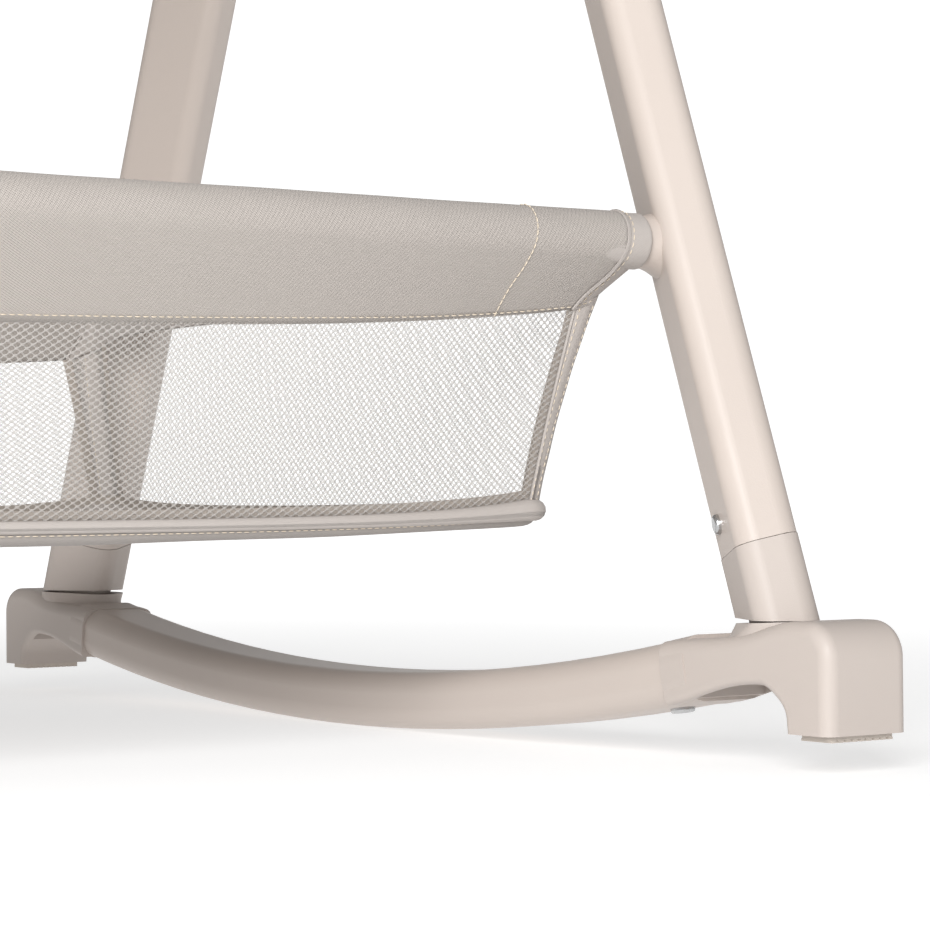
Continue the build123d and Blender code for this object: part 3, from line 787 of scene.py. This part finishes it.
def seam_tape_strips():
    """The net's doubled seam allowance inside the corner bindings and above the bottom piping; its darker
    tone is painted shade.
    """
    pile = Pile()
    h = np.linspace(-0.03, 1.0, 24)
    for end in ENDS.values():
        for side in SIDES.values():
            rows = []
            for hh in h:
                row = []
                for d in (-1.5, 1.2, 3.9):
                    x = BINDING_X - d
                    z = edge_z_long(x) * (1 - hh) + hem_z_long(x, side) * hh
                    row.append((end * x, side * (wall_half_y(hh) - 0.8), float(z)))
                rows.append(row)
            grid = np.array(rows)
            pile.add_grid(grid if end * side > 0 else grid[:, ::-1])
            rows = []
            for hh in h:
                row = []
                for d in (5.0, 7.0, 9.8):
                    y = wall_half_y(hh) - WALL_CORNER - d
                    z = edge_z_end(y) * (1 - hh) + hem_z_end(y) * hh
                    row.append((end * (wall_half_x(hh) - 0.8), side * y, float(z)))
                rows.append(row)
            grid = np.array(rows)
            pile.add_grid(grid if end * side < 0 else grid[:, ::-1])
    rows = [basket_level(hh)[0] - basket_level(hh)[1] * 0.9 for hh in (-0.05, 0.001, 0.052)]
    pile.add_grid(np.stack(rows, 1), True)
    # The strips take the darker seam cloth, which is painted shade behind the net.
    pile.make("basket_seam_allowance", painted_shade_allowance, "frame", "binding_fabric")


def edge_piping(pile):
    """Soft piping round the bottom edge, fuller at the corners."""
    pts, nrm, turned = rounded(EDGE_X - 1.2, EDGE_Y + 0.4, EDGE_CORNER, 161, 81, 11)
    d = from_corner(pts, turned)
    near = np.exp(-np.maximum(d, 0) / 38)
    tall = 2.65 + 2.2 * near
    flat = 0.8 + 0.2 * near
    z = EDGE_Z - edge_drop(d) - tall
    line = np.column_stack([pts, z])
    out = np.column_stack([nrm, np.full(len(nrm), -0.15)])
    tube(pile, line, tall, out, True, flat, sides=14)


def band_level(t, inset):
    """Outline of the stitched band under the piping, from the piping (0) to the belly's rim (1)."""
    corner = max(EDGE_CORNER - inset * 0.4, 3.0)
    pts, nrm, turned = rounded(EDGE_X - 1.0 - inset, EDGE_Y - 0.2 - inset, corner, 161, 81, 7)
    d = from_corner(pts, turned)
    top = EDGE_Z - edge_drop(d) - 5.0 - 3.0 * np.exp(-np.maximum(d, 0) / 38)
    low = 101.6 - low_drop(d)
    low = np.where(turned > 0.5, np.maximum(low, 96.5), low)
    return np.column_stack([pts, top + (low - top) * t]), np.column_stack([nrm, np.zeros(len(nrm))])


def basket_bottom(stitches):
    levels = [(0.0, 0.3), (0.12, 0.1), (0.35, 0.5), (0.6, 1.3), (0.8, 2.6), (0.94, 4.4), (1.0, 7.5)]
    rows = [band_level(t, inset)[0] for t, inset in levels]
    rim = rows[-1]
    for k in range(1, 9):
        f = k / 8
        sunk = rim * [1 - f, 1 - f, 1.0]
        sunk[:, 2] = rim[:, 2] - 0.8 * math.sin(f * math.pi / 2)
        if k == 8:
            sunk[:, 0] = rim[:, 0] * 0.02
            sunk[:, 1] = 0.0
        rows.append(sunk)
    points = np.stack(rows, 1)
    points[..., 2] += ripple(points, 30.0, 0.25)
    # The bottom is coloured with the band cloth darkened to 72%: painted shade on the cloth that curves
    # under the basket.
    ob = cloth("basket_bottom", points[::-1], shaded_band_cloth, "frame", closed_rows=True)
    line, out = band_level(0.2, -0.15)
    line = np.vstack([line, line[:1]])
    out = np.vstack([out, out[:1]])
    sew(stitches, line, out, period=3.6, dash=2.6)


def floor_insert():
    """Stiffened floor insert in a cloth cover, with a fold across its middle."""
    low, high = (np.array(v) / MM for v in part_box("basket_floor_insert"))
    half = (high - low) / 2
    rows = []
    for t in np.linspace(0, 1, 9):
        a = math.pi * (t - 0.5)
        inset = 3.0 * (1 - math.cos(a))
        pts, _, _ = rounded(half[0] - inset, half[1] - inset, 12.0, 41, 21, 6)
        gap = np.hypot(half[0] - np.abs(pts[:, 0]), half[1] - np.abs(pts[:, 1]))
        base = np.maximum(102.6 - low_drop(gap), low[2] + 0.2)
        rows.append(np.column_stack([pts, base + (high[2] - 0.2 - base) * (0.5 + 0.5 * math.sin(a))]))
    ring = np.stack(rows, 1)
    pile = Pile()
    pile.add_grid(ring, True)
    for level, flip in ((rows[0], True), (rows[-1], False)):
        steps = []
        for f in np.linspace(0, 1, 12):
            ring_in = level.copy()
            ring_in[:, :2] *= 1 - f * 0.9995
            if not flip:
                crease = np.exp(-(ring_in[:, 0] / 5.0) ** 2)
                ring_in[:, 2] += ripple(ring_in, 45.0, 0.3) - 1.6 * crease
            steps.append(ring_in)
        grid = np.stack(steps, 1)
        pile.add_grid(grid[::-1] if flip else grid, True)
    ob = pile.make("basket_floor_insert_cover", lining, "frame", "binding_fabric")
    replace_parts(ob, "basket_floor_insert")


def build_basket():
    stitches, cords = Pile(), Pile()
    covers = {}
    for side_name, side in SIDES.items():
        covers[side_name] = rim_cover_long(f"basket_rim_cover_{side_name}", side)
        for end in ENDS.values():
            line, out = seam_line(side, end, end_seam_x, 0.1)
            line, out = resample(line, 2.5), resample(out, 1.0)
            share, known = np.linspace(0, 1, len(line)), np.linspace(0, 1, len(out))
            out = np.stack([np.interp(share, known, out[:, k]) for k in range(3)], 1)
            tube(cords, line, 0.85, out, sides=8)
            line, out = seam_line(side, end, lambda z: end_seam_x(z) + 2.6)
            sew(stitches, line[3:-1], out[3:-1], period=3.3, dash=2.5)
            line, out = seam_line(side, end, cross_seam_x, 0.25)
            sew(stitches, line[6:], out[6:], period=2.9, dash=2.75, r=0.3, lift=0.05)
        x = np.linspace(-(END_X - 48), END_X - 48, 200)
        above = 1.7 + 1.7 / (1 + np.exp((np.abs(x) - 300) / 25))
        line, out = skirt_line(side, x, above, 0.15)
        sew(stitches, line, out, period=3.6, dash=2.7)
    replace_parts(covers["front"], "basket_rim_cover")
    for end_name, end in ENDS.items():
        end_cover(f"basket_rim_cover_{end_name}_end", end)
        basket_net_end(f"basket_net_{end_name}_end", end)
        for side_name, side in SIDES.items():
            corner_binding(f"basket_binding_{end_name}_{side_name}", end, side, stitches, cords)
    nets = {s: basket_net_long(f"basket_net_{s}", v) for s, v in SIDES.items()}
    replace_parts(nets["front"], "basket_fabric")
    seam_tape_strips()
    edge = Pile()
    edge_piping(edge)
    edge.make("basket_edge_piping", band, "frame", "binding_fabric")
    basket_bottom(stitches)
    floor_insert()
    hem_tape(cords, stitches)
    cords.make("basket_piping_cords", band, "frame", "binding_fabric")
    stitches.make("basket_stitching", stitch_thread, "frame", "stitching")


def hem_tape(cords, stitches):
    """A narrow turned edge along the hem of the smooth end cloth and round both corners."""
    line, out = basket_level(1.0, 9)
    for end in ENDS.values():
        index = end_run(line, end, CORNER_X)
        part, direction = line[index], out[index]
        tube(cords, part + direction * 0.5 + [0, 0, 0.8], 1.35, direction, flat=0.55, sides=8)
        sew(stitches, part + direction * 1.35 + [0, 0, 1.0], direction, period=3.3, dash=2.4, r=0.22)


# ---------------------------------------------------------------- bassinet

RIM_HALF, RIM_TURN, RIM_LEVEL, RIM_CLOTH_R = (398.0, 262.0), 150.0, 780.0, 13.8
WALL_TOP, WALL_LOW = 748.0, 522.0
WALL_HALF = {766.0: (401.0, 265.0, 150.0), 520.0: (376.0, 236.0, 120.0)}
HEM_LEVEL = 741.0
BRACKET_FREE = 37.0
WINDOW_X, WINDOW_Z, WINDOW_TURN = 235.0, (600.0, 712.0), 16.0
QUILT_PITCH = 74.0


def wall_at(z):
    """Half length, half width and corner radius of the bassinet's wall at height z."""
    (z1, top), (z0, low) = WALL_HALF.items()
    f = (z - z0) / (z1 - z0)
    return [a + (b - a) * f for a, b in zip(low, top)]


def cradle_outline(z, grow=0.0):
    half_x, half_y, turn = wall_at(z)
    pts, nrm, _ = rounded(half_x + grow, half_y + grow, turn + grow, 125, 57, 60)
    return pts, nrm


def wall_points(x, z, side, grow=0.0):
    """Points on a straight long side of the wall, and their outward directions."""
    x, z = np.broadcast_arrays(np.asarray(x, float), np.asarray(z, float))
    half_y = wall_at(z)[1]
    out = np.broadcast_to(unit(np.array([0.0, side * 1.0, -0.118])), (*x.shape, 3))
    return np.stack([x, side * half_y, z], -1) + out * grow, out


def cradle_sleeve(name, side, stitches, cords):
    """Twill sleeve over half of the rim, between the two brackets."""
    rim, nrm, _ = rounded(*RIM_HALF, RIM_TURN, 125, 57, 60)
    low, _ = cradle_outline(HEM_LEVEL, 2.0)
    count = len(rim)
    index = np.flatnonzero(rim[:, 1] * side > BRACKET_FREE)
    if side < 0:
        index = (np.sort((index + count // 2) % count) - count // 2) % count
    centre = np.column_stack([rim[index], np.full(len(index), RIM_LEVEL)])
    out = np.column_stack([nrm[index], np.zeros(len(index))])
    hem = np.column_stack([low[index], np.full(len(index), HEM_LEVEL)])
    points = sleeve_profile(centre, out, hem, RIM_CLOTH_R)
    normal = -normals_of(points)
    points = points + normal * ripple(points, 18.0, 0.25)[..., None]
    ob = cloth(name, points[::-1], twill, "bassinet", thick=0.7)
    skirt = unit(points[:, -2] - points[:, -1])
    away = unit(out + [0, 0, -0.1])
    sew(stitches, points[:, -1] + skirt * 4.0, away, period=3.6, dash=2.7)
    sew(stitches, points[:, -1] + skirt * 9.0, away, period=3.6, dash=2.7)
    for k, step in ((0, 1), (-1, -1)):
        around = unit(points[k] - centre[k])
        tube(cords, points[k], 0.9, around, sides=8)
        sew(stitches, points[k + 2 * step][9:-4], around[9:-4], period=3.3, dash=2.5)
    return ob


def cradle_wall(stitches, cords):
    """Twill wall with a window in each long side."""
    heights = np.concatenate([
        np.linspace(WALL_LOW, WINDOW_Z[0], 17), np.linspace(WINDOW_Z[0], WINDOW_Z[1], 22)[1:],
        np.linspace(WINDOW_Z[1], WALL_TOP, 9)[1:],
    ])
    rows = []
    for z in heights:
        pts, nrm = cradle_outline(z)
        slack = 1.2 * math.sin(math.pi * (z - WALL_LOW) / (WALL_TOP - WALL_LOW))
        rows.append(np.column_stack([pts - nrm * slack, np.full(len(pts), z)]))
    points = np.stack(rows, 1)
    points[:, 1:-1] += (normals_of(points) * ripple(points, 40.0, 0.6)[..., None])[:, 1:-1]
    faces = np.array(grid_faces(len(points), len(heights), True))
    flat = points.reshape(-1, 3)
    middle = flat[faces].mean(1)
    straight = (np.abs(flat[faces][..., 0]).max(1) < WINDOW_X + 4) & (np.abs(middle[:, 1]) > 150)
    window = straight & (middle[:, 2] > WINDOW_Z[0]) & (middle[:, 2] < WINDOW_Z[1])
    ob = piece("bassinet_wall", flat, faces[~window].tolist(), twill, "bassinet", grid_uv(points))
    for side in SIDES.values():
        for end in ENDS.values():
            z = np.linspace(WALL_LOW + 4, HEM_LEVEL - 1, 60)
            line, out = wall_points(end * 246.0, z, side, 0.1)
            tube(cords, line, 0.9, np.array(out), sides=8)
            for aside in (3.0, -3.0):
                line, out = wall_points(end * (246.0 + aside), z, side, 0.25)
                sew(stitches, line, np.array(out), period=3.5, dash=2.6)
    return ob


def window_path(side, inset, lift):
    """A closed rounded outline in a window's plane, inset mm in from its edge."""
    half_z = (WINDOW_Z[1] - WINDOW_Z[0]) / 2
    pts, _, _ = rounded(WINDOW_X - inset, half_z - inset, max(WINDOW_TURN - inset, 3.0), 95, 23, 8)
    return wall_points(pts[:, 0], pts[:, 1] + sum(WINDOW_Z) / 2, side, lift)


def cradle_window(name, side, stitches, bindings):
    """Net in a window, and the binding round it inside and out."""
    base = WINDOW_Z[0] - 5.0

    def surface(u, v):
        return wall_points(u, v + base, side, -1.0)

    def keep(u, v):
        x, z = np.abs(u), np.abs(v + base - sum(WINDOW_Z) / 2)
        return (x < WINDOW_X + 3) & (z < (WINDOW_Z[1] - WINDOW_Z[0]) / 2 + 3) & (x + z < WINDOW_X + 50)

    ob = net_panel(name, surface, (-242, 242), (-4, 126), CRADLE_HOLE, "bassinet", keep, side < 0)
    inset = np.array([-7.5, -7.0, -3.0, 3.0, 7.0, 7.5])
    for face, rise in ((1, 1.3), (-1, 1.0)):
        lift = face * rise * np.array([0.0, 0.8, 1.0, 1.0, 0.8, 0.0]) - (0.0 if face > 0 else 2.0)
        rows = [window_path(side, i, k)[0] for i, k in zip(inset, lift)]
        grid = np.stack(rows, 1)
        bindings.add_grid(grid if side * face > 0 else grid[::-1], True)
    for i in (-5.0, 5.0):
        line, out = window_path(side, i, 1.25)
        sew(stitches, np.vstack([line, line[:1]]), np.vstack([out, out[:1]]), period=3.4, dash=2.5)


def cradle_bottom(cords):
    pts, nrm = cradle_outline(WALL_LOW)
    rows = [np.column_stack([pts, np.full(len(pts), WALL_LOW + 0.2)])]
    for k in range(1, 11):
        f = 1 - k / 10.2
        sag = 0.8 * (1 - f * f)
        rows.append(np.column_stack([pts * f, np.full(len(pts), WALL_LOW - sag)]))
    points = np.stack(rows, 1)
    ob = cloth("bassinet_underside", points[::-1], lining, "bassinet", closed_rows=True)
    line = np.column_stack([pts + nrm * 0.6, np.full(len(pts), WALL_LOW + 1.2)])
    tube(cords, line, 2.6, np.column_stack([nrm, np.zeros(len(nrm))]), True, sides=12)


def cradle_mattress(cords):
    """Quilted mattress with a piped edge, filling its CAD box."""
    low, high = (np.array(v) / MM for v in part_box("bassinet_mattress"))
    half, thick = (high - low) / 2, high[2] - low[2]
    base, corner = low[2], 113.0
    ring = []
    for t in np.linspace(-1, 1, 17):
        swell = 2.2 * (1 - t * t)
        inset = 2.2 - swell + 5.0 * max(abs(t) - 0.8, 0) ** 2 / 0.04 * 0.6
        pts, _, _ = rounded(half[0] - inset, half[1] - inset, corner - inset, 97, 41, 40)
        ring.append(np.column_stack([pts, np.full(len(pts), base + thick / 2 + t * (thick / 2 - 3.4))]))
    sides = np.stack(ring, 1)
    pile = Pile()
    pile.add_grid(sides, True)
    edges = {}
    for k, way in ((0, -1), (-1, 1)):
        level = ring[k]
        rows = [level]
        for f in np.concatenate([[0.006, 0.015], np.linspace(0.03, 0.9995, 74)]):
            inner = level.copy()
            inner[:, :2] *= 1 - f
            puff = np.sqrt(np.clip(f / 0.05, 0, 1))
            x, y = inner[:, 0] * math.pi / QUILT_PITCH, inner[:, 1] * math.pi / QUILT_PITCH
            diamond = np.abs(np.sin(x + y) * np.sin(x - y))
            quilt = 2.6 * (np.sqrt(diamond + 0.01) - 1) if way > 0 else 0.0
            inner[:, 2] = level[:, 2] + way * (3.3 * puff) + quilt * np.clip(f / 0.06, 0, 1)
            rows.append(inner)
        grid = np.stack(rows, 1)
        pile.add_grid(grid if way > 0 else grid[::-1], True)
        edges[way] = level
    ob = pile.make("bassinet_mattress_cover", jersey, "bassinet", "mattress_cover")
    for level in edges.values():
        around = unit(level * [1, 1, 0])
        tube(cords, level + around * 0.1, 2.0, around, True, sides=10)
    return ob


def build_bassinet():
    stitches, cords, bindings, welts = Pile(), Pile(), Pile(), Pile()
    sleeves = {s: cradle_sleeve(f"bassinet_rim_cover_{s}", v, stitches, cords) for s, v in SIDES.items()}
    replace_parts(sleeves["front"], "bassinet_rim_cover")
    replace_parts(cradle_wall(stitches, cords), "bassinet_fabric")
    for side_name, side in SIDES.items():
        cradle_window(f"bassinet_net_{side_name}", side, stitches, bindings)
    cradle_bottom(cords)
    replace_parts(cradle_mattress(welts), "bassinet_mattress")
    bindings.make("bassinet_window_binding", band, "bassinet", "binding_fabric")
    cords.make("bassinet_piping", band, "bassinet", "binding_fabric")
    welts.make("bassinet_mattress_piping", band, "bassinet", "binding_fabric")
    stitches.make("bassinet_stitching", stitch_thread, "bassinet", "stitching")


# ---------------------------------------------------------------- view, floor and light


VIEW_PLACE = (END_X * MM - 0.801, -1.2337, 0.1114)
VIEW_RIGHT = (0.81900, -0.57372, -0.00834)
VIEW_UP = (-0.00117, -0.01619, 0.99987)
VIEW_AHEAD = (0.5737, 0.8190, 0.0130)
LENS_MM = 110.74
KEY_PLACE, KEY_AIM = (-0.9, -1.6, 0.8), (0.3, -0.1, 0.2)
KEY_SIZE, KEY_WATTS = (0.9, 0.9), 44.0


def stage_floor():
    """A white floor that glows a little, more so further away."""
    s = Shader("floor_white", (0.52, 0.52, 0.52, 1.0), 0.9, 0.0)
    s.set("Emission Color", (1.0, 1.0, 1.0, 1.0))
    away = s.node("ShaderNodeVectorMath", operation="LENGTH")
    s.link(s.coords("Object"), away.inputs[0])
    spread = s.node("ShaderNodeMapRange")
    for socket, value in (("From Min", 0.6), ("From Max", 2.6), ("To Min", 0.6), ("To Max", 1.05)):
        spread.inputs[socket].default_value = value
    s.link(away.outputs["Value"], spread.inputs["Value"])
    s.link(spread.outputs["Result"], s.main.inputs["Emission Strength"])
    bpy.ops.mesh.primitive_plane_add(size=60.0, location=(0, 0, 0))
    floor = bpy.context.object
    floor.name = "stage_floor"
    floor.data.materials.append(s.mat)


def studio_world():
    """A dim white room, bright where the crib is seen against it."""
    world = bpy.data.worlds.new("studio")
    bpy.context.scene.world = world
    world.use_nodes = True
    tree = world.node_tree
    back = tree.nodes["Background"]
    back.inputs["Color"].default_value = (1.0, 1.0, 1.0, 1.0)
    toward = tree.nodes.new("ShaderNodeVectorMath")
    toward.operation = "DOT_PRODUCT"
    toward.inputs[1].default_value = VIEW_AHEAD
    tree.links.new(tree.nodes.new("ShaderNodeTexCoord").outputs["Generated"], toward.inputs[0])
    glow = tree.nodes.new("ShaderNodeMapRange")
    for socket, value in (("From Min", 0.93), ("From Max", 0.965), ("To Min", 0.3), ("To Max", 1.1)):
        glow.inputs[socket].default_value = value
    tree.links.new(toward.outputs["Value"], glow.inputs["Value"])
    tree.links.new(glow.outputs["Result"], back.inputs["Strength"])


def key_light():
    """One soft key light, to the left of the camera."""
    data = bpy.data.lights.new("key", "AREA")
    data.shape = "RECTANGLE"
    data.size, data.size_y = KEY_SIZE
    data.energy = KEY_WATTS
    lamp = bpy.data.objects.new("key", data)
    lamp.location = KEY_PLACE
    lamp.rotation_mode = "QUATERNION"
    lamp.rotation_quaternion = (Vector(KEY_AIM) - Vector(KEY_PLACE)).to_track_quat("-Z", "Y")
    bpy.context.collection.objects.link(lamp)


def view_camera():
    data = bpy.data.cameras.new("camera")
    data.sensor_width = 36.0
    data.lens = LENS_MM
    data.clip_start, data.clip_end = 0.05, 60.0
    camera = bpy.data.objects.new("camera", data)
    bpy.context.collection.objects.link(camera)
    right = Vector(VIEW_RIGHT).normalized()
    back = right.cross(Vector(VIEW_UP).normalized()).normalized()
    turn = Matrix((right, back.cross(right), back)).transposed()
    camera.matrix_world = Matrix.Translation(VIEW_PLACE) @ turn.to_4x4()
    bpy.context.scene.camera = camera


def build_stage():
    stage_floor()
    studio_world()
    key_light()
    view_camera()
    bpy.context.scene.view_settings.view_transform = "Standard"


finish_cad()
build_basket()
build_bassinet()
build_stage()
